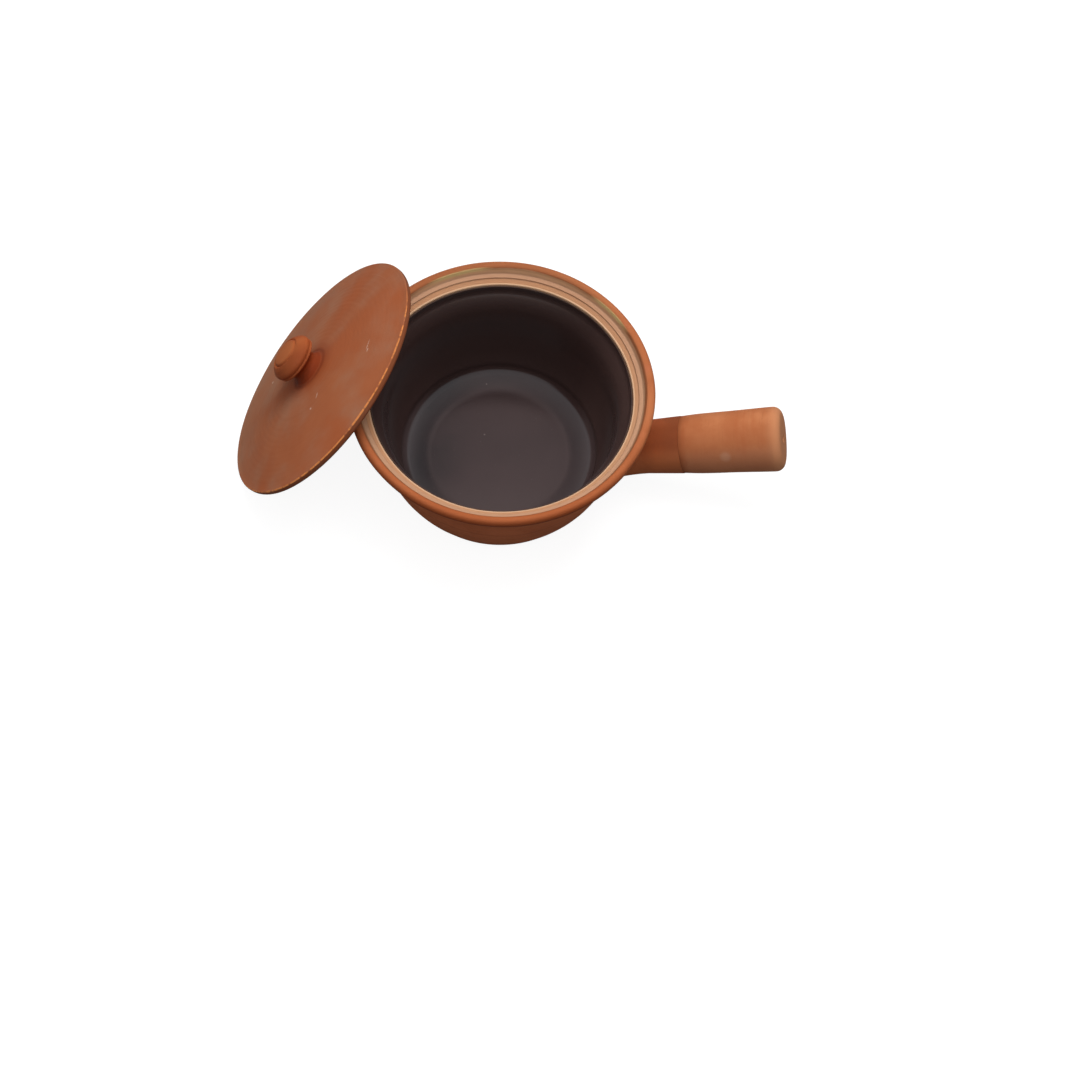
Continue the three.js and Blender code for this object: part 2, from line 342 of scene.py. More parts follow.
def place_camera():
    """The camera at the photograph's angle, turned so that the handle points along X."""
    turn = Matrix.Rotation(CAMERA_TURN, 3, "Z")
    forward = turn @ Vector((0, math.cos(CAMERA_ELEVATION), -math.sin(CAMERA_ELEVATION)))
    right = turn @ Vector((1, 0, 0))
    down = forward.cross(right)
    rolled_right = math.cos(CAMERA_ROLL) * right + math.sin(CAMERA_ROLL) * down
    rolled_down = math.cos(CAMERA_ROLL) * down - math.sin(CAMERA_ROLL) * right
    data = bpy.data.cameras.new("photograph_view")
    camera = bpy.data.objects.new("photograph_view", data)
    bpy.context.scene.collection.objects.link(camera)
    axes = Matrix((rolled_right, -rolled_down, -forward)).transposed().to_4x4()
    camera.matrix_world = Matrix.Translation(turn @ CAMERA_AIM - CAMERA_DISTANCE * forward) @ axes
    data.sensor_width = SENSOR
    data.lens = FOCAL_PIXELS / PHOTO_SIDE * SENSOR
    data.shift_x = (PHOTO_SIDE / 2 - AXIS_PIXEL[0]) / PHOTO_SIDE
    data.shift_y = (AXIS_PIXEL[1] - PHOTO_SIDE / 2) / PHOTO_SIDE
    bpy.context.scene.camera = camera


# Shader maths

class Wire:
    """A shader socket that takes part in sums."""

    def __init__(self, socket):
        self.socket = socket

    def sum(self, operation, *values):
        """A Math node in the same tree."""
        return add_node(self.socket.node.id_data, "Math", {"operation": operation}, *values)

    def __add__(self, other):
        return self.sum("ADD", self, other)

    def __radd__(self, other):
        return self.sum("ADD", other, self)

    def __sub__(self, other):
        return self.sum("SUBTRACT", self, other)

    def __rsub__(self, other):
        return self.sum("SUBTRACT", other, self)

    def __mul__(self, other):
        return self.sum("MULTIPLY", self, other)

    def __rmul__(self, other):
        return self.sum("MULTIPLY", other, self)

    def __truediv__(self, other):
        return self.sum("DIVIDE", self, other)

    def __pow__(self, other):
        return self.sum("POWER", self, other)

    def __abs__(self):
        return self.sum("ABSOLUTE", self)

    def held(self):
        """The value held between 0 and 1."""
        return self.sum("MAXIMUM", self.sum("MINIMUM", self, 1), 0)

    def other(self, name):
        """Another output of the same node."""
        return Wire(self.socket.node.outputs[name])


def add_node(tree, kind, settings, *values, **named_values):
    """Adds any node: first its settings, then values or links for its sockets, by place or by name."""
    node = tree.nodes.new("ShaderNode" + kind)
    for name, value in settings.items():
        setattr(node, name, value)
    given = list(zip(node.inputs, values))
    for name, value in named_values.items():
        wanted = name.replace("_", " ")
        given.append((next(s for s in node.inputs if s.name.lower() == wanted and s.enabled), value))
    for socket, value in given:
        if isinstance(value, Wire):
            tree.links.new(value.socket, socket)
        else:
            socket.default_value = value
    return Wire(next(s for s in node.outputs if s.enabled))


def mixed(share, first, second):
    """Mixes two colours, each a link or the light that it stands for, by a share that is a link."""
    tree = share.socket.node.id_data
    return add_node(tree, "Mix", {"data_type": "RGBA"}, factor=share, a=first, b=second)


def screen(colour):
    """A colour as seen on a screen, 0 to 255, as the light that it stands for."""
    light = [c / 255 / 12.92 if c <= 10 else ((c / 255 + 0.055) / 1.055) ** 2.4 for c in colour]
    return (*light, 1)


class Finish:
    """One material, and the nodes that paint it in the axes of the piece that wears it."""

    def __init__(self, name, roughness, gloss, axes=Matrix()):
        self.material = bpy.data.materials.new(name)
        self.material.use_nodes = True
        self.tree = self.material.node_tree
        self.shader = self.tree.nodes["Principled BSDF"]
        self.shader.inputs["Roughness"].default_value = roughness
        self.shader.inputs["Specular IOR Level"].default_value = gloss
        back = axes.inverted()
        where = self.node("TexCoord").other("Object")
        self.here = self.node(
            "Mapping", vector=where, location=back.to_translation(), rotation=back.to_euler()
        )
        self.x = self.node("SeparateXYZ", vector=self.here)
        self.y = self.x.other("Y")
        self.z = self.x.other("Z")
        self.radius = (self.x * self.x + self.y * self.y) ** 0.5

    def node(self, kind, settings=None, **named_values):
        """Adds a node to this material."""
        return add_node(self.tree, kind, settings or {}, **named_values)

    def clouds(self, size, detail=3, roughness=0.5):
        """Noise with patches of about the given size."""
        return self.node("TexNoise", vector=self.here, scale=1 / size, detail=detail, roughness=roughness)

    def rings(self, spacing, around, detail=2):
        """Noise in rings about the piece's axis, broken up a little on the way round."""
        across = self.node(
            "CombineXYZ",
            x=self.x / self.radius * around,
            y=self.y / self.radius * around,
            z=self.radius / spacing,
        )
        settings = {"noise_dimensions": "4D"}
        return self.node("TexNoise", settings, vector=across, w=self.z / spacing, scale=1, detail=detail)

    def sweep(self, size):
        """Noise that changes only on the way round the piece's axis."""
        around = self.node("CombineXYZ", x=self.x / self.radius, y=self.y / self.radius)
        return self.node("TexNoise", vector=around, scale=1 / size, detail=2)

    def step(self, value, low, high):
        """0 below low, 1 above high and smooth between them; or the other way where low is above high."""
        settings = {"interpolation_type": "SMOOTHSTEP"}
        if low < high:
            return self.node("MapRange", settings, value=value, from_min=low, from_max=high)
        return 1 - self.node("MapRange", settings, value=value, from_min=high, from_max=low)

    def band(self, value, middle, half_width):
        """1 at the middle, falling smoothly to 0 at the half width."""
        return self.step(abs(value - middle), half_width, half_width / 3)

    def spot(self, place, size):
        """A soft spot about a place, reaching as far each way as its size."""
        shift = [-p / s for p, s in zip(place, size)]
        near = self.node("Mapping", vector=self.here, location=shift, scale=[1 / s for s in size])
        return self.step(self.node("VectorMath", {"operation": "LENGTH"}, vector=near), 1, 0.3)

    def azimuth(self):
        """The angle round the piece's axis from its X axis, between minus and plus half a turn."""
        return self.y.sum("ARCTAN2", self.y, self.x)

    def mix(self, share, first, second):
        """Mixes two colours, each a link or red, green and blue as seen on a screen."""
        return mixed(share, *(c if isinstance(c, Wire) else screen(c) for c in (first, second)))

    def paint(self, colour, roughness):
        """Gives the surface its colour and its roughness."""
        self.tree.links.new(colour.socket, self.shader.inputs["Base Color"])
        self.tree.links.new(roughness.socket, self.shader.inputs["Roughness"])

    def bump(self, height, distance, strength):
        """Gives the surface a fine relief."""
        bump = self.node("Bump", strength=strength, distance=distance, height=height)
        self.tree.links.new(bump.socket, self.shader.inputs["Normal"])


# Materials

CLAY_GLOSS = 0.1
GRAIN_SIZE = 1.1 * MM
RELIEF_DEPTH = 0.2 * MM
RELIEF_SHARE = 0.4


def handle_axes():
    """The handle's own axes: Z along it, from the pot's wall."""
    wall_radius = outer_radius(outer_wall(), HANDLE_HEIGHT)
    place = Matrix.Translation((wall_radius, 0, HANDLE_HEIGHT))
    return place @ Matrix.Rotation(QUARTER_TURN - HANDLE_PITCH, 4, "Y")


def lid_axes():
    """The lid's own axes as it leans: Z out of the knob."""
    turned = Matrix.Rotation(LEAN_TURN, 4, "Z") @ Matrix.Rotation(LEAN_TILT, 4, "Y")
    return Matrix.Translation(LID_MIDDLE) @ turned


BODY_MOTTLE = 35 * MM
BODY_PATCH = 16 * MM
BODY_FINE_RING = 0.7 * MM
BODY_WIDE_RING = 3 * MM
# How far each change of colour inside the lip reaches, and the half width of the line of painted shade at
# the step.
STEP_EDGE = 0.3 * MM
STEP_LINE_WIDTH = 0.6 * MM
STEEP_EDGE = 1 * MM
CREAM_START = 1.4 * MM
CREAM_FULL = 0.8 * MM
# The line inside the lip, where the gallery's paler clay starts and a dark line of painted shade runs.
LINE_WANDER = 0.8 * MM
LINE_SHIFT = 0.1 * MM
LINE_EDGE = 0.2 * MM
LINE_WIDTH = 0.9 * MM
# Each is the middle and the half width of a stretch where the line inside the lip is pale.
PALE_LINES = ((113.5 * DEGREE, 16 * DEGREE), (44.5 * DEGREE, 13 * DEGREE))
# The middle and the half width of the stretches of the pot nearest the camera and farthest from it, where
# painted shade darkens the clay and the glaze and the far steep side of the gallery has a painted
# highlight.
NEAR_STRETCH = (-90 * DEGREE, 85 * DEGREE)
FAR_STRETCH = (95 * DEGREE, 70 * DEGREE)


def outer_clay(clay, mottle, fine, wide, near, far):
    """The colour of the pot's outside and of its lip, with painted shade on its near and far sides."""
    patches = clay.clouds(BODY_PATCH, 2)
    shade = clay.mix(clay.step(mottle, 0.35, 0.65), (174, 99, 61), (187, 112, 71))
    shade = clay.mix(clay.step(patches, 0.55, 0.75) * 0.4, shade, (190, 108, 80))
    # Painted shade: the clay is darker on the near side, darkest on the outer side of the near lip, and
    # darker on the far side.
    shade = clay.mix(near * 0.6, shade, (162, 84, 45))
    lip_side = clay.step(clay.radius, LIP_CENTRE.x, LIP_CENTRE.x + 0.45 * LIP_WIDTH)
    shade = clay.mix(near * lip_side * 0.8, shade, (126, 60, 30))
    shade = clay.mix(far * 0.6, shade, (154, 94, 60))
    below = clay.step(clay.z, POT_HEIGHT - 0.6 * COVE_DROP, POT_HEIGHT - 1.1 * COVE_DROP)
    lower = clay.mix(clay.step(mottle, 0.35, 0.65), (181, 101, 64), (192, 110, 72))
    shade = clay.mix(below, shade, lower)
    shade = clay.mix(clay.step(wide, 0.55, 0.8) * 0.3, shade, (134, 72, 44))
    return clay.mix(clay.step(fine, 0.6, 0.85) * 0.2, shade, (200, 140, 104))


def gallery_clay(clay, fine, wide, far):
    """The paler colour of the gallery, from the lip down to the mouth, with a painted highlight on its far
    steep side and a line of painted shade at the step.
    """
    shade = clay.mix(clay.step(clay.radius, LIP_INSIDE, SHELF_RADIUS), (180, 128, 92), (188, 144, 114))
    steep = clay.step(clay.radius, SHELF_RADIUS, SHELF_RADIUS + STEEP_EDGE)
    # Painted highlight: the steep side is paler on the far stretch.
    shade = clay.mix(steep * far * 0.8, shade, (214, 166, 126))
    on_ledge = clay.step(clay.radius, STEP_RADIUS + STEP_EDGE, STEP_RADIUS - STEP_EDGE)
    shade = clay.mix(on_ledge, shade, (198, 145, 108))
    # Painted shade: a darker line in the corner of the step.
    shade = clay.mix(clay.band(clay.radius, STEP_RADIUS, STEP_LINE_WIDTH) * 0.2, shade, (168, 112, 78))
    shade = clay.mix(clay.step(wide, 0.5, 0.75) * 0.3, shade, (176, 120, 88))
    shade = clay.mix(clay.step(fine, 0.45, 0.2) * 0.5, shade, (222, 188, 158))
    cream = clay.step(clay.radius, MOUTH_RADIUS + CREAM_START, MOUTH_RADIUS + CREAM_FULL)
    return clay.mix(cream * 0.7, shade, (218, 182, 148))


def body_finish():
    """The pot's clay: orange-brown outside, paler inside the lip, with a line between them, and painted
    shade and a painted highlight by side.
    """
    clay = Finish("body_clay", 0.6, CLAY_GLOSS)
    mottle = clay.clouds(BODY_MOTTLE, 4, 0.6)
    grain = clay.clouds(GRAIN_SIZE, 2)
    fine = clay.rings(BODY_FINE_RING, 1.2)
    wide = clay.rings(BODY_WIDE_RING, 0.5)
    azimuth = clay.azimuth()
    near = clay.band(azimuth, *NEAR_STRETCH)
    far = clay.band(azimuth, *FAR_STRETCH)
    outside = outer_clay(clay, mottle, fine, wide, near, far)
    inside = gallery_clay(clay, fine, wide, far)

    wander = (mottle - 0.5) * LINE_WANDER
    line_place = LIP_INSIDE + LINE_SHIFT
    in_gallery = clay.step(clay.radius + wander, line_place + LINE_EDGE, line_place - LINE_EDGE)
    mouth = LEDGE_HEIGHT - 2 * LEDGE_ROUND
    in_gallery = in_gallery * clay.step(clay.z, mouth - LEDGE_ROUND, mouth)
    shade = clay.mix(in_gallery, outside, inside)
    # Painted shade: a dark line in the crease where the lip meets the gallery, lighter on the far side; in
    # some stretches the line is pale instead.
    lip_line = clay.band(clay.radius + wander, line_place, LINE_WIDTH)
    lip_line = lip_line * clay.step(clay.z, LEDGE_HEIGHT, STEP_HEIGHT)
    pale = sum(clay.band(azimuth, middle, half_width) for middle, half_width in PALE_LINES)
    shade = clay.mix(lip_line * (1 - pale) * (0.8 - far * 0.5), shade, (146, 88, 56))
    shade = clay.mix(lip_line * pale * 0.8, shade, (206, 180, 122))
    clay.paint(shade, 0.58 + (mottle - 0.5) * 0.2 + in_gallery * 0.2)
    clay.bump(grain * 0.4 + fine * 0.5, RELIEF_DEPTH, RELIEF_SHARE)
    return clay.material


ROOT_MOTTLE = 18 * MM
ROOT_RING = 0.9 * MM
# How far from the seam the dusky clay starts, where it is full, and how far its start wanders.
DUSK_START = 18 * MM
DUSK_FULL = 4 * MM
DUSK_WANDER = 8 * MM
# Across the root: the middle and the half width of its darker band of painted shade, and where its
# warmer near edge of painted bounce light starts and is full.
ROOT_PAINTED_SHADE = (-3 * MM, 12 * MM)
ROOT_PAINTED_LIGHT_EDGE = (-10 * MM, -18 * MM)


def root_finish():
    """The handle's root: the pot's clay, redder and darker towards the grip, with a band of painted shade
    and a near edge of painted light.
    """
    clay = Finish("root_clay", 0.6, CLAY_GLOSS, handle_axes())
    mottle = clay.clouds(ROOT_MOTTLE, 4, 0.6)
    grain = clay.clouds(GRAIN_SIZE, 2)
    fine = clay.rings(ROOT_RING, 0.8)
    shade = clay.mix(clay.step(mottle, 0.35, 0.68), (158, 82, 48), (178, 92, 52))
    along = clay.z + (mottle - 0.5) * DUSK_WANDER
    dusk = clay.step(along, ROOT_LENGTH - DUSK_START, ROOT_LENGTH - DUSK_FULL)
    shade = clay.mix(dusk * 0.7, shade, (126, 67, 40))
    shade = clay.mix(clay.step(fine, 0.55, 0.8) * 0.25, shade, (120, 62, 38))
    # Painted shade: a darker band along the middle of the root.
    shade = clay.mix(clay.band(clay.y, *ROOT_PAINTED_SHADE) * 0.38, shade, (118, 58, 32))
    # Painted light: the root's near lower edge is lighter and warmer, as bounce light from below.
    shade = clay.mix(clay.step(clay.y, *ROOT_PAINTED_LIGHT_EDGE) * 0.6, shade, (190, 112, 70))
    clay.paint(shade, 0.6 + (mottle - 0.5) * 0.2)
    clay.bump(grain * 0.4 + fine * 0.4, RELIEF_DEPTH, RELIEF_SHARE)
    return clay.material


GRIP_MOTTLE = 22 * MM
GRIP_FINE_RING = 1.1 * MM
GRIP_WIDE_RING = 5 * MM
# Across the grip, where its near side of painted shade and its ashy near edge, partly painted bounce light,
# start and are full.
GRIP_NEAR_SIDE = (8 * MM, -8 * MM)
GRIP_NEAR_EDGE = (-11 * MM, -20 * MM)
# How far past the seam the dusky start and the root's smeared clay reach, and how far their ends wander.
GRIP_START_REACH = 7 * MM
GRIP_START_WANDER = 4 * MM
SMEAR_REACH = 2.6 * MM
SMEAR_WANDER = 2 * MM
SMUDGE_PLACE = Vector((-10.2, -17, 77.7)) * MM
SMUDGE_SIZE = Vector((5, 5, 5)) * MM


def grip_finish():
    """The grip's paler clay, with faint turning lines, a smoky smudge, painted shade on its near side and a
    painted highlight on its end.
    """
    clay = Finish("grip_clay", 0.62, CLAY_GLOSS, handle_axes())
    mottle = clay.clouds(GRIP_MOTTLE, 4, 0.6)
    grain = clay.clouds(GRAIN_SIZE, 2)
    fine = clay.rings(GRIP_FINE_RING, 1.2)
    wide = clay.rings(GRIP_WIDE_RING, 0.6)
    shade = clay.mix(clay.step(mottle, 0.35, 0.68), (182, 108, 68), (196, 124, 82))
    shade = clay.mix(clay.step(wide, 0.5, 0.7) * 0.35, shade, (178, 98, 58))
    shade = clay.mix(clay.step(fine, 0.55, 0.8) * 0.3, shade, (156, 94, 60))
    shade = clay.mix(clay.step(grain, 0.6, 0.75) * 0.2, shade, (150, 92, 60))
    # Painted shade: the near side of the grip is darker.
    shade = clay.mix(clay.step(clay.y, *GRIP_NEAR_SIDE) * 0.5, shade, (162, 92, 56))
    # The near edge is paler and greyer: partly smoky clay, partly painted bounce light from below.
    shade = clay.mix(clay.step(clay.y, *GRIP_NEAR_EDGE) * 0.36, shade, (196, 136, 104))
    # Painted highlight: the rounded end is paler.
    end = clay.step(clay.z, HANDLE_LENGTH - 2 * GRIP_END_ROUND, HANDLE_LENGTH)
    shade = clay.mix(end * 0.65, shade, (212, 148, 106))
    along = clay.z + (mottle - 0.5) * GRIP_START_WANDER
    start = clay.step(along, ROOT_LENGTH + GRIP_START_REACH, ROOT_LENGTH - SEAM_WIDTH / 2)
    shade = clay.mix(start * 0.85, shade, (146, 78, 44))
    smear = clay.step(clay.z + (mottle - 0.5) * SMEAR_WANDER, ROOT_LENGTH + SMEAR_REACH, ROOT_LENGTH)
    shade = clay.mix(smear * 0.4, shade, (134, 72, 42))
    shade = clay.mix(clay.spot(SMUDGE_PLACE, SMUDGE_SIZE) * 0.35, shade, (206, 160, 130))
    clay.paint(shade, 0.62 + (mottle - 0.5) * 0.2)
    clay.bump(grain * 0.4 + fine * 0.5, RELIEF_DEPTH, RELIEF_SHARE)
    return clay.material


# Each is a place on the lid and half its width and length, as shares of the lid's radius.
CHALK_MARK_SHARES = (
    (-0.208, 0.406, 0.014, 0.012),
    (-0.24, 0.306, 0.006, 0.035),
    (0.598, -0.08, 0.018, 0.016),
    (-0.674, -0.025, 0.006, 0.06),
    (-0.69, 0.02, 0.006, 0.03),
)
LID_MOTTLE = 45 * MM
LID_PATCH = 30 * MM
LID_FINE_RING = 1.3 * MM
LID_WIDE_RING = 6 * MM
# How far from the knob's foot the painted shade in its crease reaches.
CREASE_REACH = 4 * MM
# How far above the lid the knob's own colour starts and is full.
KNOB_CLAY_START = 0.2 * MM
KNOB_CLAY_FULL = 0.6 * MM
# How far inside the edge the painted shade on its side starts and is full, and how far up the corner's
# round it fades.
SIDE_START = 2.4 * MM
SIDE_FULL = 1.4 * MM
SIDE_TOP = 0.6 * MM
# The same for the worn line on the corner, which is partly a painted highlight, how far up that round it is
# full, and its wander.
WORN_GLINT_START = 1.3 * MM
WORN_GLINT_FULL = 0.7 * MM
WORN_GLINT_RISE = 0.4 * MM
WORN_GLINT_WANDER = 2 * MM


def with_knob(clay, shade, patches):
    """Adds the painted shadow round the knob's foot, and the knob's own colours with painted shade on its
    lower side and its neck.
    """
    on_top = clay.step(clay.z, LID_DOME - LID_THICKNESS / 4, LID_DOME)
    # Painted shadow: the lid is darker and redder round the knob, and darker still in the crease at its
    # foot.
    near_knob = on_top * clay.step(clay.radius, 1.6 * KNOB_RADIUS, 0.85 * KNOB_RADIUS)
    shade = clay.mix(near_knob * 0.55, shade, (150, 72, 40))
    crease = on_top * clay.step(clay.radius, KNOB_FOOT_RADIUS + CREASE_REACH, KNOB_FOOT_RADIUS)
    shade = clay.mix(crease * 0.65, shade, (118, 50, 28))
    foot = LID_DOME + LID_THICKNESS / 2
    on_knob = clay.step(clay.z, foot + KNOB_CLAY_START, foot + KNOB_CLAY_FULL)
    knob_clay = clay.mix(clay.step(patches, 0.4, 0.6), (164, 82, 42), (174, 95, 52))
    # Painted shade: the knob is darker on its lower side.
    dusk = clay.step((clay.y * 0.8 - clay.x * 0.6) / KNOB_RADIUS, 0, 0.8)
    knob_clay = clay.mix(dusk * 0.6, knob_clay, (120, 56, 30))
    shade = clay.mix(on_knob * 0.85, shade, knob_clay)
    button = clay.step(clay.radius, 0.6 * KNOB_RADIUS, 0.5 * KNOB_RADIUS)
    shade = clay.mix(on_knob * button * 0.5, shade, (184, 108, 64))
    # Painted shade: the knob's neck under its bead is dark red.
    neck = on_knob * clay.step(clay.z, foot + 0.48 * KNOB_HEIGHT, foot + 0.38 * KNOB_HEIGHT)
    return clay.mix(neck * 0.8, shade, (122, 46, 20))


def with_chalk_marks(clay, shade, grain):
    """Adds the small pale marks on the top of the lid."""
    for x, y, half_width, half_length in CHALK_MARK_SHARES:
        place = Vector((x, y)) * LID_RADIUS
        height = dome(LID_DOME, place.length) + LID_THICKNESS / 2
        size = (half_width * LID_RADIUS, half_length * LID_RADIUS, LID_THICKNESS / 2)
        mark = clay.spot((*place, height), size) * clay.step(grain, 0.35, 0.55)
        shade = clay.mix(mark * 0.7, shade, (222, 196, 178))
    return shade


def with_edge_shade_and_glint(clay, shade, patches):
    """Adds painted shade on the side of the lid's edge, and the worn line on its upper corner, which is
    partly a painted highlight.
    """
    corner = LID_THICKNESS / 2 - LID_TOP_ROUND
    # Painted shade: the side of the edge is dark.
    side = clay.step(clay.radius, LID_RADIUS - SIDE_START, LID_RADIUS - SIDE_FULL)
    side = side * clay.step(clay.z, corner + SIDE_TOP, corner)
    shade = clay.mix(side * 0.75, shade, (116, 64, 40))
    # The worn line is partly a painted highlight: it shows only on the lower side of the edge, in broken
    # stretches.
    downward = (clay.y * 0.8 - clay.x * 0.6) / LID_RADIUS
    worn_glint = clay.radius + (patches - 0.5) * WORN_GLINT_WANDER
    worn_glint = clay.step(worn_glint, LID_RADIUS - WORN_GLINT_START, LID_RADIUS - WORN_GLINT_FULL)
    worn_glint = worn_glint * clay.step(clay.z, corner, corner + WORN_GLINT_RISE) * clay.step(downward, 0.05, 0.5)
    worn_glint = worn_glint * clay.step(clay.sweep(0.04), 0.38, 0.52)
    return clay.mix(worn_glint * 0.85, shade, (222, 138, 76))


def lid_finish():
    """The lid's clay: an ashy bloom that is partly a painted sheen, orange flashes, painted light on its
    left, chalky marks and an edge with painted shade and a worn line that is partly a painted highlight.
    """
    clay = Finish("lid_clay", 0.58, CLAY_GLOSS, lid_axes())
    mottle = clay.clouds(LID_MOTTLE, 3, 0.55)
    patches = clay.clouds(LID_PATCH, 3, 0.5)
    grain = clay.clouds(GRAIN_SIZE, 2)
    fine = clay.rings(LID_FINE_RING, 0.8)
    wide = clay.rings(LID_WIDE_RING, 0.5)
    outward = clay.radius / LID_RADIUS
    upward = (clay.x * 0.7 - clay.y * 0.7) / LID_RADIUS
    shade = clay.mix(clay.step(mottle, 0.35, 0.65), (160, 89, 56), (168, 97, 62))
    # An ashy bloom, partly the clay's own and partly a painted soft reflection, growing towards the edge
    # and the upper side.
    bloom_and_sheen = clay.step(patches + outward * outward * 0.12 + upward * 0.09, 0.4, 0.9)
    shade = clay.mix(bloom_and_sheen * 0.6, shade, (162, 122, 98))
    flash = clay.step(mottle + upward * 0.05, 0.5, 0.35)
    shade = clay.mix(flash * 0.35, shade, (176, 92, 50))
    # Painted light: the lid is paler towards its left edge, its +X side.
    shade = clay.mix(clay.step(clay.x / LID_RADIUS, 0.3, 1) * 0.4, shade, (182, 130, 100))
    shade = clay.mix(clay.step(wide, 0.55, 0.75) * 0.12, shade, (142, 80, 52))
    shade = clay.mix(clay.step(fine, 0.6, 0.85) * 0.1, shade, (190, 140, 112))
    shade = with_knob(clay, shade, patches)
    shade = with_chalk_marks(clay, shade, grain)
    shade = with_edge_shade_and_glint(clay, shade, patches)
    clay.paint(shade, 0.56 + (mottle - 0.5) * 0.2)
    clay.bump(grain * 0.4 + fine * 0.4, RELIEF_DEPTH, RELIEF_SHARE)
    return clay.material


# Each is a place on the floor of the pot.
FLOOR_SPECKS = (Vector((-14.3, 53.9, 9)) * MM, Vector((-11.5, 13, 9)) * MM)
SPECK_SIZE = Vector((0.9, 0.9, 2)) * MM
GLAZE_MOTTLE = 45 * MM
GLAZE_GRAIN = 2.5 * MM
GLAZE_RING = 2.4 * MM
GLAZE_RELIEF_SHARE = 0.06
GLAZE_WALL_START = 2 * MM
# The middle and the half width of the stretch of the wall at the handle, where painted light makes the wall
# paler.
HANDLE_STRETCH = (-5 * DEGREE, 60 * DEGREE)
# Where the floor's darker left and its paler near part, both painted reflection, start and are full.
FLOOR_LEFT = (-15 * MM, -45 * MM)
FLOOR_NEAR = (-15 * MM, -50 * MM)
# How far below the glaze's edge its browner strip starts and is full.
BROWN_START = 1.4 * MM
BROWN_FULL = 0.2 * MM


def glaze_finish():
    """The dark glaze on the inside: shiny over a duller ground, and browner at its thin upper edge, with
    painted light, shade and reflection on its wall and floor.
    """
    glaze = Finish("dark_glaze", 0.45, 0.22)
    glaze.shader.inputs["Coat Weight"].default_value = 1
    glaze.shader.inputs["Coat Roughness"].default_value = 0.18
    mottle = glaze.clouds(GLAZE_MOTTLE, 3)
    grain = glaze.clouds(GLAZE_GRAIN, 2)
    rings = glaze.rings(GLAZE_RING, 0.5)
    floor = FLOOR_THICKNESS + GLAZE_DEPTH
    on_wall = glaze.step(glaze.z, floor + GLAZE_WALL_START, floor + FLOOR_FILLET)
    azimuth = glaze.azimuth()
    # Painted light: the wall is paler on the handle's side.
    handle_side = glaze.band(azimuth, *HANDLE_STRETCH)
    wall = glaze.mix(handle_side * 0.8, (66, 48, 45), (84, 64, 60))
    # Painted shade: the wall is darker on the far stretch.
    wall = glaze.mix(glaze.band(azimuth, *FAR_STRETCH) * 0.6, wall, (52, 40, 38))
    # Painted reflection: the floor is darker on the left and paler on the near side.
    ground = glaze.mix(glaze.step(glaze.x, *FLOOR_LEFT) * 0.8, (46, 30, 29), (32, 21, 21))
    ground = glaze.mix(glaze.step(glaze.y, *FLOOR_NEAR) * 0.5, ground, (66, 50, 48))
    # Painted reflection: a paler ring in the floor's cove on the left and right.
    cove = glaze.band(glaze.z, floor + FLOOR_FILLET / 2, FLOOR_FILLET / 2)
    sideways = glaze.step(glaze.x * glaze.x / (MOUTH_RADIUS * MOUTH_RADIUS), 0.3, 0.6)
    shade = glaze.mix(on_wall, ground, wall)
    shade = glaze.mix(cove * sideways * 0.5, shade, (92, 78, 78))
    shade = glaze.mix(glaze.step(mottle, 0.35, 0.68) * 0.3, shade, (60, 42, 40))
    shade = glaze.mix(glaze.step(grain, 0.7, 0.8) * 0.2, shade, (84, 72, 70))
    for place in FLOOR_SPECKS:
        shade = glaze.mix(glaze.spot(place, SPECK_SIZE) * 0.6, shade, (110, 94, 88))
    edge_height = LEDGE_HEIGHT - GLAZE_EDGE_DROP
    edge = glaze.step(glaze.z, edge_height - BROWN_START, edge_height - BROWN_FULL)
    shade = glaze.mix(edge * 0.7, shade, (70, 42, 22))
    glaze.paint(shade, 0.45 + (mottle - 0.5) * 0.1)
    glaze.bump(rings * 0.5 + grain * 0.3, RELIEF_DEPTH, GLAZE_RELIEF_SHARE)
    return glaze.material


# Pieces

def outer_wall():
    """The pot's outside, from the top of its heel to the cove under the lip."""
    heel = BASE_RADIUS + HEEL_ROUND
    cove = RIM_RADIUS - COVE_DEPTH
    top = POT_HEIGHT - COVE_DROP
    return curve(
        [
            (heel + (cove - heel) * reach, HEEL_ROUND + (top - HEEL_ROUND) * rise)
            for rise, reach in WALL_SHARES
        ]
    )


def outer_radius(wall, height):
    """The radius of that outside at a height."""
    for low, high in zip(wall, wall[1:]):
        if low.y <= height <= high.y:
            return low.x + (high.x - low.x) * (height - low.y) / (high.y - low.y)
    return wall[0].x if height < wall[0].y else wall[-1].x


def inner_wall(inset, top):
    """The pot's inside from the axis up to a height, moved inwards by the inset."""
    wall = outer_wall()
    floor = FLOOR_THICKNESS + inset
    fillet_top = FLOOR_THICKNESS + FLOOR_RISE + FLOOR_FILLET
    fillet = (outer_radius(wall, fillet_top) - WALL_THICKNESS - FLOOR_FILLET, fillet_top)
    slope = math.atan2(FLOOR_RISE, FLOOR_RISE_WIDTH)
    round_off = arc(fillet, FLOOR_FILLET - inset, slope - QUARTER_TURN, 0)
    points = eased([(0, floor), (fillet[0] - FLOOR_RISE_WIDTH, floor), round_off[0]], FLOOR_RISE_WIDTH / 2)
    points += round_off[1:]
    steps = 4 * CURVE_STEPS
    for i in range(1, steps + 1):
        height = fillet_top + (top - fillet_top) * i / steps
        radius = min(outer_radius(wall, height) - WALL_THICKNESS, MOUTH_RADIUS)
        points.append(Vector((radius - inset, height)))
    return points


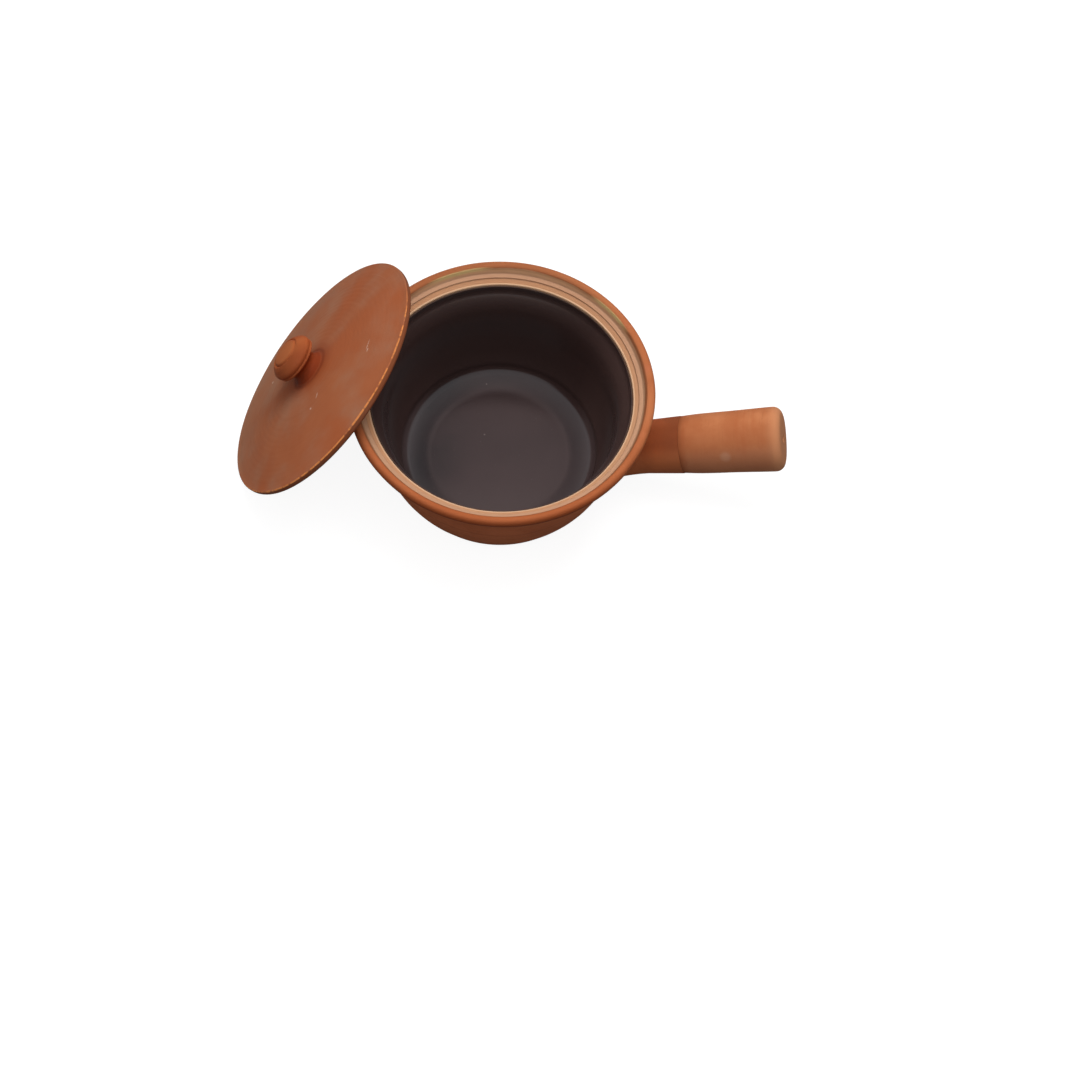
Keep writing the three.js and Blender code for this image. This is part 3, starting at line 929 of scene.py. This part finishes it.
def make_pot_body():
    """The pot: base, heel, wall, cove, round lip, gallery and inside, spun from one outline."""
    lip_round = arc(LIP_CENTRE, LIP_WIDTH / 2, -LIP_UNDER_TURN, LIP_TURN)
    gallery = eased(
        [
            lip_round[-1],
            (SHELF_RADIUS, SHELF_HEIGHT),
            (STEP_RADIUS, STEP_HEIGHT),
            (STEP_RADIUS, STEP_HEIGHT - STEP_DEPTH),
            (MOUTH_RADIUS + LEDGE_ROUND, LEDGE_HEIGHT),
        ],
        STEP_DEPTH / 2,
    )
    mouth = (MOUTH_RADIUS + LEDGE_ROUND, LEDGE_HEIGHT - LEDGE_ROUND)
    outline = [Vector((0, 0))]
    outline += arc((BASE_RADIUS, HEEL_ROUND), HEEL_ROUND, -QUARTER_TURN, 0)
    outline += thrown(outer_wall(), *WALL_RINGS)[1:]
    outline += lip_round
    outline += thrown(gallery, *GALLERY_RINGS)[1:]
    outline += arc(mouth, LEDGE_ROUND, QUARTER_TURN, HALF_TURN)[1:]
    outline += list(reversed(inner_wall(0, LEDGE_HEIGHT - 2 * LEDGE_ROUND)))[1:]
    pot = spun("clay_pot", outline, POT_SIDES)
    uneven(pot, *POT_SWELL)
    return pot


def make_glaze():
    """The glaze: a thin coat on the floor and the inner wall, with a rounded upper edge."""
    top = LEDGE_HEIGHT - GLAZE_EDGE_DROP
    round_end = (GLAZE_DEPTH - GLAZE_SEAT) / 2
    under = inner_wall(GLAZE_SEAT, top - round_end)
    face = inner_wall(GLAZE_DEPTH, top - round_end)
    edge = arc(((under[-1].x + face[-1].x) / 2, top - round_end), round_end, 0, HALF_TURN)
    return spun("glaze_coat", under[:-1] + edge + face[-2::-1], POT_SIDES)


def make_handle_root(pot):
    """The root: a short cone whose skirt flares out and is pressed onto the pot's wall."""
    bore = ROOT_NECK_RADIUS - HANDLE_WALL
    reach = (ROOT_SKIRT_TOP + ROOT_SKIRT_UNDER) / 2
    shift = (ROOT_SKIRT_TOP - ROOT_SKIRT_UNDER) / 2
    outline = [
        Vector((ROOT_RADIUS - HANDLE_WALL, ROOT_LENGTH)),
        Vector((ROOT_RADIUS - SEAM_DEPTH, ROOT_LENGTH)),
        Vector((ROOT_RADIUS, ROOT_LENGTH - SEAM_WIDTH / 2)),
        Vector((ROOT_NECK_RADIUS, ROOT_NECK_LENGTH)),
    ]
    leans = [p + Vector((1, 0)) for p in arc((0, 0), 1, HALF_TURN, HALF_TURN + QUARTER_TURN)[1:]]
    outline += [Vector((ROOT_NECK_RADIUS + reach * lean.x, ROOT_NECK_LENGTH)) for lean in leans]
    outline.append(Vector((bore, ROOT_NECK_LENGTH)))
    root = spun("root_of_handle", outline, HANDLE_SIDES)
    root.matrix_world = handle_axes()
    group = root.vertex_groups.new(name="pressed")
    for vertex in root.data.vertices:
        if vertex.co.z > ROOT_NECK_LENGTH + MERGE_REACH:
            continue
        radius = math.hypot(vertex.co.x, vertex.co.y)
        if radius < bore + BORE_SLACK:
            group.add([vertex.index], 1, "REPLACE")
            continue
        flare = max(0, (radius - ROOT_NECK_RADIUS) / reach)
        group.add([vertex.index], math.sqrt(max(0, 1 - (1 - flare) ** 2)), "REPLACE")
        vertex.co.x -= shift * flare
    press = root.modifiers.new("press", "SHRINKWRAP")
    press.target = pot
    press.wrap_method = "PROJECT"
    press.use_project_z = True
    press.use_negative_direction = True
    press.use_positive_direction = False
    press.offset = -ROOT_SINK
    press.vertex_group = group.name
    apply_modifiers(root)
    root.vertex_groups.clear()
    settle(root, handle_axes())
    return root


def make_grip():
    """The grip: a hollow tube that widens to a rounded end with a small vent."""
    length = HANDLE_LENGTH - ROOT_LENGTH
    side = curve(
        [
            (ROOT_RADIUS + (GRIP_END_RADIUS - ROOT_RADIUS) * growth, ROOT_LENGTH + length * along)
            for along, growth in GRIP_SHARES
        ]
    )
    end = (GRIP_END_RADIUS - GRIP_END_ROUND, HANDLE_LENGTH - GRIP_END_ROUND)
    vent = (VENT_RADIUS + VENT_ROUND, HANDLE_LENGTH - VENT_ROUND)
    cap_inside = HANDLE_LENGTH - HANDLE_WALL
    bore_round = (GRIP_END_RADIUS - HANDLE_WALL) / 2
    outline = [Vector((ROOT_RADIUS - SEAM_DEPTH, ROOT_LENGTH))]
    outline += [p for p in side if ROOT_LENGTH + SEAM_WIDTH / 2 < p.y < end[1]]
    outline += arc(end, GRIP_END_ROUND, 0, QUARTER_TURN)
    outline += arc(vent, VENT_ROUND, QUARTER_TURN, HALF_TURN)
    outline.append(Vector((VENT_RADIUS, cap_inside)))
    outline += arc((bore_round, cap_inside - bore_round), bore_round, QUARTER_TURN, 0)
    outline.append(Vector((ROOT_RADIUS - HANDLE_WALL, ROOT_LENGTH)))
    grip = spun("grip_of_handle", outline, HANDLE_SIDES)
    uneven(grip, *GRIP_SWELL)
    settle(grip, handle_axes())
    return grip


def dome(rise, radius):
    """The height of a shallow dome over its edge, at a radius."""
    return rise * (1 - (radius / (LID_RADIUS - LID_THICKNESS / 2)) ** 2)


def make_lid_plate():
    """The lid's plate: a domed disc, hollow below, with a rounded edge."""
    edge = LID_THICKNESS / 2
    flat = LID_RADIUS - edge
    steps = 8 * CURVE_STEPS
    radii = [flat * i / steps for i in range(steps)]
    under = [Vector((radius, dome(LID_HOLLOW, radius) - edge)) for radius in radii]
    top = [Vector((radius, dome(LID_DOME, radius) + edge)) for radius in reversed(radii)]
    corner = (LID_RADIUS - LID_TOP_ROUND, edge - LID_TOP_ROUND)
    outline = under
    outline += arc((flat, 0), edge, -QUARTER_TURN, 0)
    outline += arc(corner, LID_TOP_ROUND, 0, QUARTER_TURN)
    outline += thrown(top, *LID_RINGS)
    plate = spun("plate_of_lid", outline, POT_SIDES)
    uneven(plate, *LID_SWELL)
    settle(plate, lid_axes())
    return plate


def make_knob():
    """The knob, whose foot blends into the lid in a small cove."""
    foot = LID_DOME + LID_THICKNESS / 2
    blend = KNOB_FOOT_RADIUS + KNOB_FOOT_BLEND
    seat = dome(LID_DOME, blend) + LID_THICKNESS / 2 - KNOB_FOOT_SINK
    side = [(KNOB_RADIUS * reach, foot + KNOB_HEIGHT * rise) for reach, rise in KNOB_SHARES]
    start = [(blend, seat), (KNOB_FOOT_RADIUS * KNOB_FOOT_TAPER_SHARE, foot)]
    outline = [Vector((0, foot - KNOB_FOOT_SINK))]
    outline += curve(start + side, CURVE_STEPS // 2)
    knob = spun("knob_of_lid", outline, HANDLE_SIDES)
    settle(knob, lid_axes())
    return knob


# Stage

SKY_LIGHT = (0.26, 0.26, 0.26, 1)
ROOM_WHITE = (1, 1, 1, 1)
ROOM_SHINE = (0.62, 0.67, 0.71, 1)
BACK_SHINE = (0.22, 0.27, 0.31, 1)
STRIP_LOW_SHINE = (0.7, 0.54, 0.54, 1)
STRIP_HIGH_SHINE = (1.6, 1.3, 1.3, 1)
BACK_ELEVATION = 60 * DEGREE
BACK_REACH = 18 * DEGREE
STRIP_REACH = 2 * DEGREE
STRIP_EDGE = 1.2 * DEGREE
STRIP_RISE = 4 * DEGREE
SOFTBOX_SIDE = 0.9
# Each softbox has its name, its place and its power.
SOFTBOXES = (
    ("key_softbox", (0.1, 0.4, 1.3), 13),
    ("front_softbox", (0, -0.4, 1.25), 4),
    ("side_softbox", (-1.1, -0.1, 0.9), 0.8),
)
STAGE_SIDES = 64
STAGE_RADIUS = 6
STAGE_BOUNCE = (0.2, 0.2, 0.2, 1)
STAGE_SHADE = (0.25, 0.25, 0.25, 1)
STAGE_GLOW = 0.9


def light_room():
    """A pale room that shines dimmer high at the back, but for a strip of warmer light down the middle."""
    world = bpy.data.worlds.new("studio")
    bpy.context.scene.world = world
    world.use_nodes = True
    tree = world.node_tree
    rays = add_node(tree, "LightPath", {})
    direction = add_node(tree, "TexCoord", {}).other("Generated")

    def towards(axis):
        """How much each direction points along an axis."""
        return add_node(tree, "VectorMath", {"operation": "DOT_PRODUCT"}, direction, axis)

    turn = Matrix.Rotation(CAMERA_TURN, 3, "Z")
    back = turn @ Vector((0, math.cos(BACK_ELEVATION), math.sin(BACK_ELEVATION)))
    at_back = (towards(back) - math.cos(BACK_REACH)) / (math.cos(BACK_REACH / 2) - math.cos(BACK_REACH))
    across = towards(turn @ Vector((1, 0, 0)))
    on_strip = (math.sin(STRIP_REACH + STRIP_EDGE) - abs(across)) / math.sin(2 * STRIP_EDGE)
    low = math.sin(BACK_ELEVATION - STRIP_RISE)
    high = math.sin(BACK_ELEVATION + STRIP_RISE)
    up_strip = (towards(Vector((0, 0, 1))) - low) / (high - low)
    strip = mixed(up_strip.held(), STRIP_LOW_SHINE, STRIP_HIGH_SHINE)
    shine = mixed(at_back.held(), ROOM_SHINE, mixed(on_strip.held(), BACK_SHINE, strip))
    light = mixed(rays.other("Is Glossy Ray"), SKY_LIGHT, shine)
    light = mixed(rays.other("Is Camera Ray"), light, ROOM_WHITE)
    tree.links.new(light.socket, tree.nodes["Background"].inputs["Color"])
    for name, place, power in SOFTBOXES:
        add_softbox(name, place, power)


def add_softbox(name, place, power):
    """A square light that faces the pot."""
    data = bpy.data.lights.new(name, "AREA")
    data.shape = "SQUARE"
    data.size = SOFTBOX_SIDE
    data.energy = power
    light = bpy.data.objects.new(name, data)
    bpy.context.scene.collection.objects.link(light)
    light.location = place
    away = Vector(place) - Vector((0, 0, POT_HEIGHT / 2))
    light.rotation_euler = away.to_track_quat("Z", "Y").to_euler()
    light.visible_glossy = False


def floor_finish():
    """White to the camera but for the object's shadow, and dull to every other ray."""
    material = bpy.data.materials.new("studio_floor")
    material.use_nodes = True
    tree = material.node_tree
    tree.nodes.remove(tree.nodes["Principled BSDF"])
    rays = add_node(tree, "LightPath", {})
    bounce = add_node(tree, "BsdfDiffuse", {}, color=STAGE_BOUNCE)
    shown = add_node(tree, "BsdfDiffuse", {}, color=STAGE_SHADE)
    glow = add_node(tree, "Emission", {}, strength=STAGE_GLOW)
    both = add_node(tree, "AddShader", {}, shown, glow)
    surface = add_node(tree, "MixShader", {}, rays.other("Is Camera Ray"), bounce, both)
    tree.links.new(surface.socket, tree.nodes["Material Output"].inputs["Surface"])
    return material


def make_floor():
    """A white floor that keeps the object's soft shadow and throws little light back up."""
    deselect()
    bpy.ops.mesh.primitive_circle_add(
        vertices=STAGE_SIDES, radius=STAGE_RADIUS, fill_type="NGON", location=(0, 0, 0)
    )
    floor = bpy.context.object
    floor.name = "studio_floor"
    floor.data.materials.append(floor_finish())


place_camera()
lid_clay = lid_finish()
pot = make_pot_body()
dress(pot, body_finish(), "body_clay", "pot", "pot_body")
dress(make_glaze(), glaze_finish(), "dark_glaze", "pot", "inner_glaze")
dress(make_handle_root(pot), root_finish(), "body_clay", "pot", "handle_root")
dress(make_grip(), grip_finish(), "grip_clay", "pot", "handle_grip")
dress(make_lid_plate(), lid_clay, "lid_clay", "lid", "lid_plate")
dress(make_knob(), lid_clay, "lid_clay", "lid", "lid_knob")
light_room()
make_floor()

bpy.context.scene.view_settings.view_transform = "Standard"
